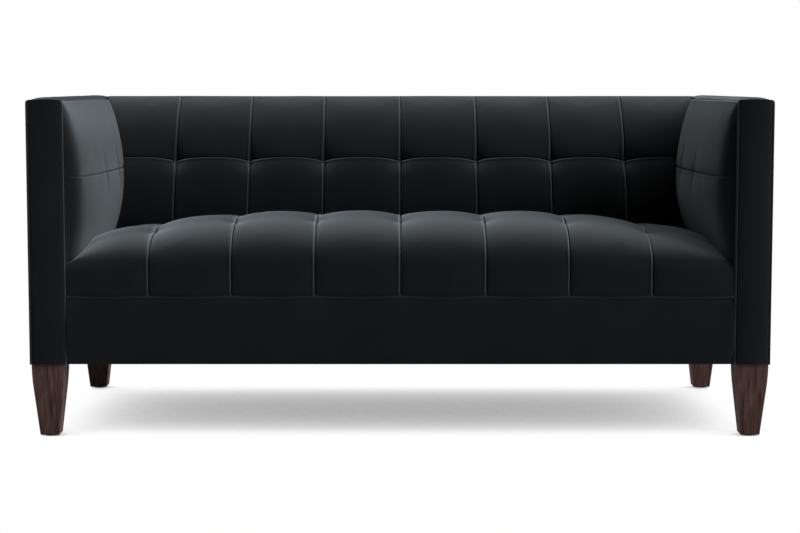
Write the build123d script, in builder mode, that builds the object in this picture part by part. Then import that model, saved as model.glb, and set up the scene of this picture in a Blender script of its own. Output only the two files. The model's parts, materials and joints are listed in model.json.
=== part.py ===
import os
from math import atan2, cos, hypot, pi, sin, sqrt

from build123d import *

os.makedirs("parts", exist_ok=True)

# Overall sizes in millimetres. Origin on the floor under the middle, front towards -Y.
overall_width = 1752.0
overall_depth = 816.0
arm_height = 794.0
arm_thickness = 85.0
back_thickness = 85.0
body_clearance = 175.0
border_height = 158.0

# Cloth, welts and boards that skin the frame
cover = 2.0
board_thickness = 3.0
edge_pad = 6.0
top_pad = 14.0
top_crown = 8.0
welt_diameter = 5.0
seat_welt_diameter = 6.0
border_setback = 3.0
dust_cover_thickness = 1.0
hem_drop = 3.0

# Clearances between pieces that fit together
soft_gap = 0.3
hole_fit = 0.05
wire_fit = 0.1

# Hardwood frame
post_size = 60.0
rail_thickness = 25.0
rail_height = 144.0
top_rail_height = 40.0
liner_height = 40.0
liner_lift = 28.0
stretcher_drop = 12.0
stretcher_height = 60.0
stretcher_spacing = 396.0
rib_thickness = 21.0
dowel_radius = 5.0
dowel_length = 40.0
dowel_edge = 30.0
dowel_stagger = 8.0
block_leg = 100.0
block_lift = 50.0
block_height = 40.0
lag_radius = 4.0
lag_bite = 40.0
lag_head_radius = 7.5
lag_head_height = 5.5

# Legs and what holds them
leg_top = 76.0
leg_bottom = 45.0
leg_inset = 4.0
leg_shoulder = 60.0
leg_edge = 2.0
glide_height = 3.0
glide_radius = 14.0
glide_pin_radius = 2.0
glide_pin_length = 16.0
bolt_radius = 4.0
bolt_in_leg = 45.0
bolt_in_post = 32.0
nut_radius = 5.5
nut_length = 16.0
nut_flange_radius = 12.0
nut_flange = 1.5

# Springs and webbing
wire_radius = 1.8
spring_width = 50.0
spring_rungs = 35
spring_end_inset = 12.0
clip_wall = 1.2
clip_width = 18.0
clip_tail = 9.0
tie_radius = 1.0
tie_places = (-180.0, 0.0)
web_thickness = 2.0
web_width = 50.0
arm_web_places = (-200.0, 0.0, 200.0)
web_lap = 25.0
deck_pad_gap = 0.2

# Seat: columns of sewn channels, two rows of pulled tufts
columns = 8
seat_tuft_height = 502.0
seat_first_tufts = 131.0
seat_depth = 515.0
seat_pillow = 14.0
seat_seam_bow = 14.0
seat_pillow_bow = 12.0
seat_front_crown = 3.0
seat_roll_height = 75.0
seat_roll_bow = 38.0
seat_end_drop = 58.0
seat_flat_half = 380.0
seat_second_fall = 12.0
seat_rear_fall = 20.0
ear_depth = 60.0
ear_front_height = 362.0
ear_top_height = 432.0
ear_bow = 14.0

# Inside back: raked pad, one row of pulled tufts
back_seat_level = 480.0
back_tuft_height = 634.0
back_tuft_depth = 607.0
back_seam_rise = 10.0
back_pillow = 24.0
back_seam_bows = (8.0, 14.0)
back_pillow_bows = (18.0, 26.0)
back_pad_bottom = 400.0
back_top_rise = 9.0
back_crown = 2.0

# Inside arms: padded panels, one lengthwise seam and two upright seams
arm_seam_height = 618.0
arm_seam_places = (300.0, 495.0)
arm_swell = 60.0
arm_foot_swell = 39.0
arm_tuft_pull = 6.0
arm_upper_bow = 14.0
arm_lower_bow = 10.0
arm_seat_level = 452.0
arm_pad_bottom = 342.0
arm_front_places = (25.0, 62.0, 180.0)
arm_front_fullness = (0.02, 0.64, 0.92, 0.98)

# Planes worked out from the sizes above
half_width = overall_width / 2
inner_face = half_width - arm_thickness
front = -overall_depth / 2
rear = overall_depth / 2
frame_side = half_width - cover - board_thickness
frame_rear = rear - cover - board_thickness
post_inner = frame_side - post_size
post_front = front + cover + edge_pad
front_post_back = post_front + post_size
rear_post_front = frame_rear - post_size
frame_bottom = body_clearance + hem_drop
rail_top = frame_bottom + rail_height
frame_top = arm_height - cover - top_pad
border_face = front + border_setback
rail_front = border_face + cover + edge_pad
rail_back = rail_front + rail_thickness
rear_rail_front = frame_rear - rail_thickness
border_top = body_clearance + border_height
seat_bottom = border_top + seat_welt_diameter
seat_back = front + seat_depth
seat_end = inner_face - arm_foot_swell - soft_gap
column = 2 * inner_face / columns
pad_back = post_inner - web_thickness
pad_front = front + welt_diameter + soft_gap / 2
pad_top = arm_height - welt_diameter - soft_gap
spring_height = rail_top + clip_wall + wire_fit + wire_radius
ring_inner = wire_radius + wire_fit
ring_outer = ring_inner + clip_wall
deck_bottom = spring_height + ring_outer + deck_pad_gap
deck_top = seat_bottom
liner_bottom = rail_top + liner_lift
liner_top = liner_bottom + liner_height
top_rail_bottom = frame_top - top_rail_height
liner_front = seat_back + soft_gap + cover
liner_back = liner_front + rail_thickness
back_top = arm_height + back_top_rise
back_seam = rear - back_thickness
leg_x = half_width - leg_inset - leg_top / 2
leg_y = rear - leg_inset - leg_top / 2
sides = {"left": -1, "right": 1}
ends = {"front": -1, "rear": 1}


def keep(piece, name):
    piece.label = name
    export_step(piece, f"parts/{name}.step")


def span(side, start, stop):
    return sorted((side * start, side * stop))


def middle(pair):
    return (pair[0] + pair[1]) / 2


# Dowel places, by the pieces that each dowel joins
dowels = []
dowel_sites = {}


def dowel(place, axis, first, second):
    turn = {"X": (0, 90, 0), "Y": (90, 0, 0)}[axis]
    site = Location(place, turn)
    dowels.append(site)
    for name in (first, second):
        dowel_sites.setdefault(name, []).append(site)


for side_name, side in sides.items():
    low = frame_bottom + dowel_edge
    high = rail_top - dowel_edge
    rail_joints = {
        "front": rail_front + rail_thickness / 2,
        "rear": frame_rear - rail_thickness / 2,
    }
    for z in (low, high):
        for end_name, y in rail_joints.items():
            dowel((side * post_inner, y, z), "X", f"{end_name}_rail", f"{side_name}_{end_name}_post")
        for y, end_name in ((front_post_back, "front"), (rear_post_front, "rear")):
            place = (side * (frame_side - rail_thickness / 2), y, z)
            dowel(place, "Y", f"{side_name}_side_rail", f"{side_name}_{end_name}_post")
    for y, end_name in ((front_post_back, "front"), (rear_post_front, "rear")):
        post_name = f"{side_name}_{end_name}_post"
        for z in (liner_bottom + liner_height / 4, liner_top - liner_height / 4):
            place = (side * (post_inner + rail_thickness / 2), y, z)
            dowel(place, "Y", f"{side_name}_arm_liner_rail", post_name)
        for x in (post_inner + post_size / 4, frame_side - post_size / 4):
            place = (side * x, y, frame_top - top_rail_height / 2 + dowel_stagger)
            dowel(place, "Y", f"{side_name}_arm_top_rail", post_name)
    for y in (rear_post_front + post_size / 4, frame_rear - post_size / 4):
        place = (side * post_inner, y, frame_top - top_rail_height / 2 - dowel_stagger)
        dowel(place, "X", "back_top_rail", f"{side_name}_rear_post")

stretchers = {"left": -stretcher_spacing, "centre": 0.0, "right": stretcher_spacing}
stretcher_bottom = frame_bottom + stretcher_drop
stretcher_top = stretcher_bottom + stretcher_height
for name, x in stretchers.items():
    for z in (stretcher_bottom + stretcher_height / 4, stretcher_top - stretcher_height / 4):
        dowel((x, rail_back, z), "Y", f"{name}_stretcher", "front_rail")
        dowel((x, rear_rail_front, z), "Y", f"{name}_stretcher", "rear_rail")


def board(name, x, y, z):
    """A squared piece of frame timber with the blind holes of its dowels."""
    with BuildPart() as piece:
        with Locations((middle(x), middle(y), middle(z))):
            Box(x[1] - x[0], y[1] - y[0], z[1] - z[0])
        for site in dowel_sites.get(name, ()):
            with Locations(site):
                Cylinder(dowel_radius + hole_fit, dowel_length, mode=Mode.SUBTRACT)
    return piece.part


# Base rails, arm rails and back rails
between_posts = (-post_inner, post_inner)
along_side = (front_post_back, rear_post_front)
rail_z = (frame_bottom, rail_top)
liner_z = (liner_bottom, liner_top)
top_rail_z = (top_rail_bottom, frame_top)
keep(board("front_rail", between_posts, (rail_front, rail_back), rail_z), "front_rail")
keep(board("rear_rail", between_posts, (rear_rail_front, frame_rear), rail_z), "rear_rail")
keep(board("back_top_rail", between_posts, (rear_post_front, frame_rear), top_rail_z), "back_top_rail")
keep(board("back_liner_rail", (-seat_end, seat_end), (liner_front, liner_back), liner_z), "back_liner_rail")
for side_name, side in sides.items():
    name = f"{side_name}_side_rail"
    keep(board(name, span(side, frame_side - rail_thickness, frame_side), along_side, rail_z), name)
    name = f"{side_name}_arm_top_rail"
    keep(board(name, span(side, post_inner, frame_side), along_side, top_rail_z), name)
with BuildPart() as arm_liner_rails:
    for side_name, side in sides.items():
        x_span = span(side, post_inner, post_inner + rail_thickness)
        add(board(f"{side_name}_arm_liner_rail", x_span, along_side, liner_z))
keep(arm_liner_rails.part, "arm_liner_rails")
stretcher_y = (rail_back, rear_rail_front)
stretcher_z = (stretcher_bottom, stretcher_top)
with BuildPart() as seat_stretchers:
    for name, x in stretchers.items():
        x_span = (x - rail_thickness / 2, x + rail_thickness / 2)
        add(board(f"{name}_stretcher", x_span, stretcher_y, stretcher_z))
keep(seat_stretchers.part, "seat_stretchers")

with BuildPart() as frame_dowels:
    with Locations(dowels):
        Cylinder(dowel_radius, dowel_length)
keep(frame_dowels.part, "frame_dowels")


# Corner blocks: five-sided braces around the foot of each post, each drawn tight by a lag screw
def block_corners(side, end):
    """The block's outline seen from above, and the two ends of its open diagonal."""
    rail_face = rail_back if end < 0 else rear_rail_front
    post_face = front_post_back if end < 0 else rear_post_front
    side_face = frame_side - rail_thickness
    along_rail = (side * (post_inner - block_leg), rail_face)
    along_side_rail = (side * side_face, post_face - end * block_leg)
    outline = [
        (side * post_inner, rail_face),
        along_rail,
        along_side_rail,
        (side * side_face, post_face),
        (side * post_inner, post_face),
    ]
    return outline, along_rail, along_side_rail


def lag_frame(side, end):
    """A plane on the block's diagonal whose Z axis runs into the post."""
    outline, first, second = block_corners(side, end)
    run = (second[0] - first[0], second[1] - first[1])
    length = hypot(run[0], run[1])
    inward = (run[1] / length, -run[0] / length)
    if inward[0] * side < 0:
        inward = (-inward[0], -inward[1])
    height = frame_bottom + block_lift + block_height / 2
    post_corner = outline[-1]
    reach = (post_corner[0] - first[0]) * inward[0] + (post_corner[1] - first[1]) * inward[1]
    foot = (post_corner[0] - reach * inward[0], post_corner[1] - reach * inward[1], height)
    return Plane(origin=foot, x_dir=(0, 0, 1), z_dir=(inward[0], inward[1], 0)), reach


with BuildPart() as corner_blocks:
    for side in sides.values():
        for end in ends.values():
            outline = block_corners(side, end)[0]
            lag_plane, lag_reach = lag_frame(side, end)
            with BuildSketch(Plane.XY.offset(frame_bottom + block_lift)):
                with BuildLine():
                    Polyline(*outline, close=True)
                make_face()
            extrude(amount=block_height)
            with BuildSketch(lag_plane):
                Circle(lag_radius + hole_fit)
            extrude(amount=lag_reach + lag_bite, mode=Mode.SUBTRACT)
keep(corner_blocks.part, "corner_blocks")

with BuildPart() as corner_screws:
    for side in sides.values():
        for end in ends.values():
            lag_plane, lag_reach = lag_frame(side, end)
            with BuildSketch(lag_plane):
                Circle(lag_radius)
            extrude(amount=lag_reach + lag_bite)
            with BuildSketch(lag_plane):
                RegularPolygon(lag_head_radius, 6)
            extrude(amount=-lag_head_height)
keep(corner_screws.part, "corner_screws")

# Arm posts, bored at the foot for the leg's nut and bolt, and at the inner corner for the lag screw
for side_name, side in sides.items():
    for end_name, end in ends.items():
        name = f"{side_name}_{end_name}_post"
        y_span = (post_front, front_post_back) if end < 0 else (rear_post_front, frame_rear)
        lag_plane, lag_reach = lag_frame(side, end)
        with BuildPart() as post:
            add(board(name, span(side, post_inner, frame_side), y_span, (frame_bottom, frame_top)))
            with Locations(Location((side * leg_x, end * leg_y, frame_bottom), (180, 0, 0))):
                CounterBoreHole(
                    nut_radius + hole_fit,
                    nut_flange_radius + hole_fit,
                    nut_flange,
                    depth=bolt_in_post + nut_flange,
                )
            with BuildSketch(lag_plane):
                Circle(lag_radius + hole_fit)
            extrude(amount=lag_reach + lag_bite, mode=Mode.SUBTRACT)
        keep(post.part, name)

# Raked plywood ribs that stand on the stretchers and carry the back
rib_front_top = rear_post_front
web_slope = (rib_front_top - liner_back) / (top_rail_bottom - liner_top - web_thickness)
with BuildPart() as back_ribs:
    for x in stretchers.values():
        with BuildSketch(Plane.YZ.offset(x - rib_thickness / 2)):
            with BuildLine():
                Polyline(
                    (liner_back, stretcher_top),
                    (liner_back, liner_top),
                    (rib_front_top, top_rail_bottom),
                    (frame_rear, top_rail_bottom),
                    (frame_rear, rail_top),
                    (rear_rail_front, rail_top),
                    (rear_rail_front, stretcher_top),
                    close=True,
                )
            make_face()
        extrude(amount=rib_thickness)
keep(back_ribs.part, "back_ribs")

# Legs: square, straight taper below a rounded shoulder, eased at the floor
leg_taper = (leg_top - leg_bottom) / 2
leg_run = frame_bottom - glide_height
shoulder_drop = leg_taper / (leg_run - leg_shoulder / 2)
shoulder_angle = atan2(shoulder_drop, 1)
shoulder_radius = leg_shoulder / sin(shoulder_angle)
shoulder_inset = shoulder_radius * (1 - cos(shoulder_angle))
half_turn = shoulder_angle / 2
shoulder_mid = (
    leg_top / 2 - shoulder_radius * (1 - cos(half_turn)),
    frame_bottom - shoulder_radius * sin(half_turn),
)


def leg_profile():
    """One side view of a leg about its own centre line, from the floor glide to the frame."""
    knee = (leg_top / 2 - shoulder_inset, frame_bottom - leg_shoulder)
    with BuildLine() as outline:
        Line((-leg_top / 2, frame_bottom), (leg_top / 2, frame_bottom))
        ThreePointArc((leg_top / 2, frame_bottom), shoulder_mid, knee)
        Line(knee, (leg_bottom / 2, glide_height))
        Line((leg_bottom / 2, glide_height), (-leg_bottom / 2, glide_height))
        Line((-leg_bottom / 2, glide_height), (-knee[0], knee[1]))
        far_mid = (-shoulder_mid[0], shoulder_mid[1])
        ThreePointArc((-knee[0], knee[1]), far_mid, (-leg_top / 2, frame_bottom))
    return outline.line


for side_name, side in sides.items():
    for end_name, end in ends.items():
        facing_front = Plane(origin=(side * leg_x, end * leg_y, 0), x_dir=(1, 0, 0), z_dir=(0, -1, 0))
        facing_side = Plane(origin=(side * leg_x, end * leg_y, 0), x_dir=(0, 1, 0), z_dir=(1, 0, 0))
        with BuildPart() as leg:
            with BuildSketch(facing_front):
                add(leg_profile())
                make_face()
            extrude(amount=leg_top, both=True)
            with BuildSketch(facing_side):
                add(leg_profile())
                make_face()
            extrude(amount=leg_top, both=True, mode=Mode.INTERSECT)
            chamfer(leg.faces().sort_by(Axis.Z)[0].edges(), leg_edge)
            with Locations((side * leg_x, end * leg_y, frame_bottom)):
                Hole(bolt_radius + hole_fit, depth=bolt_in_leg)
            with Locations(Location((side * leg_x, end * leg_y, glide_height), (180, 0, 0))):
                Hole(glide_pin_radius + hole_fit, depth=glide_pin_length)
        keep(leg.part, f"{side_name}_{end_name}_leg")

leg_places = [(side * leg_x, end * leg_y) for side in sides.values() for end in ends.values()]
from_below = (Align.CENTER, Align.CENTER, Align.MIN)

with BuildPart() as leg_glides:
    with Locations([(x, y, 0) for x, y in leg_places]):
        Cylinder(glide_radius, glide_height, align=from_below)
        Cylinder(glide_pin_radius, glide_height + glide_pin_length, align=from_below)
keep(leg_glides.part, "leg_glides")

with BuildPart() as leg_bolts:
    with Locations([(x, y, frame_bottom - bolt_in_leg) for x, y in leg_places]):
        Cylinder(bolt_radius, bolt_in_leg + bolt_in_post, align=from_below)
keep(leg_bolts.part, "leg_bolts")

with BuildPart() as leg_nuts:
    with Locations([(x, y, frame_bottom) for x, y in leg_places]):
        Cylinder(nut_flange_radius, nut_flange, align=from_below)
        Cylinder(nut_radius, nut_length, align=from_below)
    with Locations([(x, y, frame_bottom) for x, y in leg_places]):
        Cylinder(bolt_radius + hole_fit, nut_length, align=from_below, mode=Mode.SUBTRACT)
keep(leg_nuts.part, "leg_nuts")

# Seat springs: flat zigzag wire from the front rail to the rear rail, one to a column
spring_front = rail_front + spring_end_inset
spring_rear = frame_rear - spring_end_inset
rung_step = (spring_rear - spring_front) / (spring_rungs - 1)
bend = rung_step / 2
rung_half = spring_width / 2 - bend
column_centres = [column * (n + 0.5) - inner_face for n in range(columns)]

with BuildPart() as one_spring:
    with BuildLine(Plane.XY.offset(spring_height)) as spring_path:
        for n in range(spring_rungs):
            y = spring_front + n * rung_step
            way = 1 if n % 2 == 0 else -1
            Line((-way * rung_half, y), (way * rung_half, y))
            if n < spring_rungs - 1:
                bend_mid = (way * (rung_half + bend), y + bend)
                ThreePointArc((way * rung_half, y), bend_mid, (way * rung_half, y + rung_step))
    with BuildSketch(Plane(origin=(-rung_half, spring_front, spring_height), z_dir=(1, 0, 0))):
        Circle(wire_radius)
    sweep(path=spring_path.line)
wire_length = spring_path.wires()[0].length
wire_volume = pi * wire_radius**2 * wire_length
print(f"spring wire volume over section times length: {one_spring.part.volume / wire_volume:.4f}")
print(f"spring least gap between rungs: {rung_step - 2 * wire_radius:.2f} mm")

with BuildPart() as seat_springs:
    with Locations([(x, 0, 0) for x in column_centres]):
        add(one_spring.part)
keep(seat_springs.part, "seat_springs")

# Clips that hold each spring's end rung down on the rails
with BuildPart() as spring_clips:
    for x in column_centres:
        for y, way in ((spring_front, -1), (spring_rear, 1)):
            with BuildSketch(Plane.YZ.offset(x - clip_width / 2)):
                with Locations((y, spring_height)):
                    Circle(ring_outer)
                with Locations((y + way * clip_tail / 2, rail_top + clip_wall / 2)):
                    Rectangle(clip_tail, clip_wall)
                with Locations((y, spring_height)):
                    Circle(ring_inner, mode=Mode.SUBTRACT)
            extrude(amount=clip_width)
keep(spring_clips.part, "spring_clips")

# Tie wires that run across under the springs to the side rails
tie_height = spring_height - wire_radius - tie_radius - wire_fit
tie_reach = frame_side - rail_thickness
with BuildPart() as tie_wires:
    for y in tie_places:
        with BuildSketch(Plane(origin=(-tie_reach, y, tie_height), z_dir=(1, 0, 0))):
            Circle(tie_radius)
        extrude(amount=2 * tie_reach)
keep(tie_wires.part, "spring_tie_wires")

# Webbing straps behind the back pad and the inside arm pads
with BuildPart() as back_webbing:
    for x in column_centres:
        with BuildSketch(Plane.YZ.offset(x - web_width / 2)):
            with BuildLine():
                Polyline(
                    (liner_back - web_lap / 2, liner_top),
                    (liner_back, liner_top),
                    (rib_front_top, top_rail_bottom),
                    (rib_front_top, top_rail_bottom + web_lap),
                    (rib_front_top - web_thickness, top_rail_bottom + web_lap),
                    (rib_front_top - web_thickness, top_rail_bottom),
                    (liner_back - web_thickness, liner_top + web_thickness),
                    (liner_back - web_lap / 2, liner_top + web_thickness),
                    close=True,
                )
            make_face()
        extrude(amount=web_width)
keep(back_webbing.part, "back_webbing")

arm_web_z = (liner_bottom, frame_top - web_lap)
with BuildPart() as arm_webbing:
    for side in sides.values():
        x_span = span(side, pad_back, post_inner)
        with Locations([(middle(x_span), y, middle(arm_web_z)) for y in arm_web_places]):
            Box(web_thickness, web_width, arm_web_z[1] - arm_web_z[0])
keep(arm_webbing.part, "arm_webbing")

# Felt deck between the springs and the seat foam
deck_x = (-seat_end + cover, seat_end - cover)
deck_y = (rail_front, seat_back - cover)
keep(board("seat_deck_pad", deck_x, deck_y, (deck_bottom, deck_top)), "seat_deck_pad")


# Seat: a crowned block with sewn channels front to back and two rows of pulled tufts
def seat_fall(x):
    """How far the seat's top falls from its flat middle towards the arms."""
    beyond = max(0.0, abs(x) - seat_flat_half) / (seat_end - seat_flat_half)
    return seat_end_drop * beyond**3


def seat_station(x, x_shape, swell, inset, bottom):
    """One upright slice of the seat, front to back; swell is 0 on a seam and 1 mid-channel."""
    top = seat_tuft_height - seat_fall(x_shape) + swell * seat_pillow - inset
    face = border_face - swell * seat_front_crown + inset
    bow = seat_seam_bow + swell * (seat_pillow_bow - seat_seam_bow)
    shoulder = (face, top - seat_roll_height)
    first_tufts = (front + seat_first_tufts, top)
    second_tufts = ((first_tufts[0] + seat_back) / 2, top - seat_second_fall)
    rear_edge = (seat_back - inset, top - seat_rear_fall)
    with BuildSketch(Plane.YZ.offset(x)) as slice_face:
        with BuildLine():
            Line((face, bottom), shoulder)
            SagittaArc(shoulder, first_tufts, seat_roll_bow)
            SagittaArc(first_tufts, second_tufts, bow)
            SagittaArc(second_tufts, rear_edge, bow)
            Line(rear_edge, (rear_edge[0], bottom))
            Line((rear_edge[0], bottom), (face, bottom))
        make_face()
    return slice_face.sketch


def seat_block(inset, bottom):
    """The whole seat, drawn in by inset on its top, front, back and ends."""
    seams = [column * n - inner_face for n in range(columns + 1)]
    seams[0] = -seat_end
    seams[-1] = seat_end
    places = [min(max(x, -seat_end + inset), seat_end - inset) for x in seams]
    with BuildPart() as block:
        for n in range(columns):
            mid_shape = (seams[n] + seams[n + 1]) / 2
            mid_place = (places[n] + places[n + 1]) / 2
            first = seat_station(places[n], seams[n], 0, inset, bottom)
            crest = seat_station(mid_place, mid_shape, 1, inset, bottom)
            last = seat_station(places[n + 1], seams[n + 1], 0, inset, bottom)
            loft([first, crest, last])
        ear_front = (border_face + inset, ear_front_height - inset)
        ear_rear = (front + ear_depth - inset, ear_top_height - inset)
        for side in sides.values():
            start = side * (seat_end - inset)
            with BuildSketch(Plane.YZ.offset(start)):
                with BuildLine():
                    Line((ear_front[0], bottom), ear_front)
                    SagittaArc(ear_front, ear_rear, ear_bow)
                    Line(ear_rear, (ear_rear[0], bottom))
                    Line((ear_rear[0], bottom), (ear_front[0], bottom))
                make_face()
            extrude(amount=side * (inner_face - soft_gap - seat_end))
    return block.part


with BuildPart() as seat_cover:
    add(seat_block(0, seat_bottom))
    add(seat_block(cover, seat_bottom - cover), mode=Mode.SUBTRACT)
keep(seat_cover.part, "seat_cover")
keep(seat_block(cover + soft_gap, deck_top + soft_gap), "seat_foam")


# Inside arms: padded panels, rounded at the front, with a lengthwise seam and two upright seams
def arm_station(side, y, fullness, pull, inset):
    """One upright slice across an inside arm, drawn in by inset on its swelling face."""
    back_x = side * pad_back
    foot_x = side * (inner_face - fullness * arm_foot_swell + inset)
    crest = (side * (inner_face - fullness * arm_swell + pull + inset), arm_seam_height)
    roof = (side * (inner_face + inset), pad_top)
    bow_way = -side * fullness
    with BuildSketch(Plane.XZ.offset(-y)) as slice_face:
        with BuildLine():
            Line((back_x, pad_top), roof)
            SagittaArc(roof, crest, bow_way * arm_upper_bow)
            SagittaArc(crest, (foot_x, arm_seat_level), bow_way * arm_lower_bow)
            Line((foot_x, arm_seat_level), (foot_x, arm_pad_bottom))
            Line((foot_x, arm_pad_bottom), (back_x, arm_pad_bottom))
            Line((back_x, arm_pad_bottom), (back_x, pad_top))
        make_face()
    return slice_face.sketch


def arm_block(side, inset):
    """A whole inside arm pad, from the rounded front to the rear post."""
    places = [pad_front] + [front + place for place in arm_front_places]
    first_seam, second_seam = [front + place for place in arm_seam_places]
    roll = [arm_station(side, y, full, 0, inset) for y, full in zip(places, arm_front_fullness)]
    first_tuft = arm_station(side, first_seam, 1, arm_tuft_pull, inset)
    middle_crest = arm_station(side, (first_seam + second_seam) / 2, 1, 0, inset)
    second_tuft = arm_station(side, second_seam, 1, arm_tuft_pull, inset)
    rear_crest = arm_station(side, (second_seam + rear_post_front) / 2, 1, 0, inset)
    corner = arm_station(side, rear_post_front, 1, 0, inset)
    with BuildPart() as block:
        loft(roll[:3])
        loft([roll[2], roll[3], first_tuft])
        loft([first_tuft, middle_crest, second_tuft])
        loft([second_tuft, rear_crest, corner])
    return block.part


def seat_ear_room(side, margin):
    """The corner of the arm pad that the seat's ear fills."""
    x_span = span(side, seat_end - arm_swell, inner_face + margin)
    y_span = (front - ear_depth, front + ear_depth + margin)
    return board("ear_room", x_span, y_span, (0, ear_top_height + margin))


for side_name, side in sides.items():
    outer_arm = arm_block(side, 0)
    with BuildPart() as arm_cover:
        add(outer_arm)
        add(outer_arm.moved(Location((side * cover, cover, 0))), mode=Mode.SUBTRACT)
        add(seat_ear_room(side, soft_gap), mode=Mode.SUBTRACT)
    keep(arm_cover.part, f"{side_name}_inside_arm_cover")
    draw_in = cover + soft_gap
    pad_x = span(side, seat_end - arm_swell, pad_back)
    pad_room = board("arm_pad_room", pad_x, (front, rear_post_front), (arm_pad_bottom, pad_top))
    with BuildPart() as arm_foam:
        add(outer_arm.moved(Location((side * draw_in, draw_in, 0))))
        add(pad_room, mode=Mode.INTERSECT)
        add(seat_ear_room(side, draw_in + soft_gap), mode=Mode.SUBTRACT)
    keep(arm_foam.part, f"{side_name}_inside_arm_foam")


# Inside back: raked pad with upright channels and a row of pulled tufts, cut to the arms' swell
def back_station(x, swell, inset):
    """One upright slice of the back pad; swell is 0 on a seam and 1 mid-channel."""
    foot = seat_back + soft_gap + inset
    tuft_y = front + back_tuft_depth - swell * back_pillow + inset
    tuft_z = back_tuft_height + swell * back_seam_rise
    lower = back_seam_bows[0] + swell * (back_pillow_bows[0] - back_seam_bows[0])
    upper = back_seam_bows[1] + swell * (back_pillow_bows[1] - back_seam_bows[1])
    roof = back_top - welt_diameter - soft_gap
    seam_y = back_seam + inset
    behind = rear_post_front - web_thickness - soft_gap
    slope_y = behind - web_slope * (top_rail_bottom - back_pad_bottom)
    with BuildSketch(Plane.YZ.offset(x)) as slice_face:
        with BuildLine():
            Line((foot, back_pad_bottom), (foot, back_seat_level))
            SagittaArc((foot, back_seat_level), (tuft_y, tuft_z), lower)
            SagittaArc((tuft_y, tuft_z), (seam_y, roof), upper)
            Line((seam_y, roof), (behind, roof))
            Line((behind, roof), (behind, top_rail_bottom))
            Line((behind, top_rail_bottom), (slope_y, back_pad_bottom))
            Line((slope_y, back_pad_bottom), (foot, back_pad_bottom))
        make_face()
    return slice_face.sketch


def back_block(inset):
    """The whole back pad between the arms, drawn in by inset on its face."""
    seams = [column * n - inner_face for n in range(columns + 1)]
    with BuildPart() as block:
        for n in range(columns):
            first = back_station(seams[n], 0, inset)
            crest = back_station((seams[n] + seams[n + 1]) / 2, 1, inset)
            last = back_station(seams[n + 1], 0, inset)
            loft([first, crest, last])
    return block.part


outer_back = back_block(0)
arm_room = {side: arm_block(side, -soft_gap) for side in sides.values()}
with BuildPart() as back_cover:
    add(outer_back)
    add(outer_back.moved(Location((0, cover, 0))), mode=Mode.SUBTRACT)
    for side in sides.values():
        add(arm_room[side], mode=Mode.SUBTRACT)
keep(back_cover.part, "inside_back_cover")
with BuildPart() as back_foam:
    add(back_block(cover + soft_gap))
    for side in sides.values():
        add(arm_room[side], mode=Mode.SUBTRACT)
keep(back_foam.part, "inside_back_foam")


# Top strips: crowned bands along the arms and the back, over felt
def arch(width, at):
    """Height of a top strip's crown above its edges, at a distance from its middle."""
    radius = ((width / 2) ** 2 + top_crown**2) / (2 * top_crown)
    return sqrt(radius**2 - at**2) - (radius - top_crown)


strip_in = inner_face + welt_diameter
strip_out = half_width - welt_diameter
strip_width = strip_out - strip_in
strip_mid = (strip_in + strip_out) / 2
strip_under = arm_height - cover
for side_name, side in sides.items():
    left, right = span(side, strip_in, strip_out)
    crest = (side * strip_mid, arm_height + top_crown)
    crest_under = (side * strip_mid, strip_under + top_crown)
    with BuildPart() as arm_strip:
        with BuildSketch(Plane.XZ.offset(-front)):
            with BuildLine():
                ThreePointArc((left, arm_height), crest, (right, arm_height))
                Line((right, arm_height), (right, strip_under))
                ThreePointArc((right, strip_under), crest_under, (left, strip_under))
                Line((left, strip_under), (left, arm_height))
            make_face()
        extrude(amount=front - rear)
    keep(arm_strip.part, f"{side_name}_arm_top_strip")

    with BuildPart() as front_panel:
        with BuildSketch(Plane.XZ.offset(-front)):
            with BuildLine():
                Line((left, body_clearance), (right, body_clearance))
                Line((right, body_clearance), (right, strip_under))
                ThreePointArc((right, strip_under), crest_under, (left, strip_under))
                Line((left, strip_under), (left, body_clearance))
            make_face()
        extrude(amount=-cover)
    keep(front_panel.part, f"{side_name}_arm_front_panel")

felt_in = post_inner - strip_mid
felt_out = strip_out - strip_mid
felt_mid = (felt_in + felt_out) / 2
felt_roof = arm_height - cover - soft_gap
with BuildPart() as arm_felts:
    for side in sides.values():
        x_span = span(side, post_inner, frame_side)
        start = (side * post_inner, felt_roof + arch(strip_width, felt_in))
        crest = (side * (strip_mid + felt_mid), felt_roof + arch(strip_width, felt_mid))
        stop = (side * strip_out, felt_roof)
        with BuildSketch(Plane.XZ.offset(-post_front)):
            with BuildLine():
                ThreePointArc(start, crest, stop)
                Line(stop, (side * strip_out, frame_top))
                Line((side * strip_out, frame_top), (side * post_inner, frame_top))
                Line((side * post_inner, frame_top), start)
            make_face()
        extrude(amount=post_front - frame_rear)
        with Locations((middle(x_span), post_front - edge_pad / 2, (frame_bottom + frame_top) / 2)):
            Box(post_size, edge_pad, frame_top - frame_bottom)
keep(arm_felts.part, "arm_felts")

back_strip_front = back_seam + welt_diameter
back_strip_mid = (back_strip_front + rear) / 2
back_under = back_top - cover
back_crest = (back_strip_mid, back_top + back_crown)
back_crest_under = (back_strip_mid, back_under + back_crown)
with BuildPart() as back_strip:
    with BuildSketch(Plane.YZ.offset(-inner_face)):
        with BuildLine():
            ThreePointArc((back_strip_front, back_top), back_crest, (rear, back_top))
            Line((rear, back_top), (rear, back_under))
            ThreePointArc((rear, back_under), back_crest_under, (back_strip_front, back_under))
            Line((back_strip_front, back_under), (back_strip_front, back_top))
        make_face()
    extrude(amount=2 * inner_face)
keep(back_strip.part, "back_top_strip")
back_felt_z = (frame_top, back_under - soft_gap)
back_felt_x = (-inner_face, inner_face)
keep(board("back_felt", back_felt_x, (rear_post_front, frame_rear), back_felt_z), "back_felt")

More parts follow.
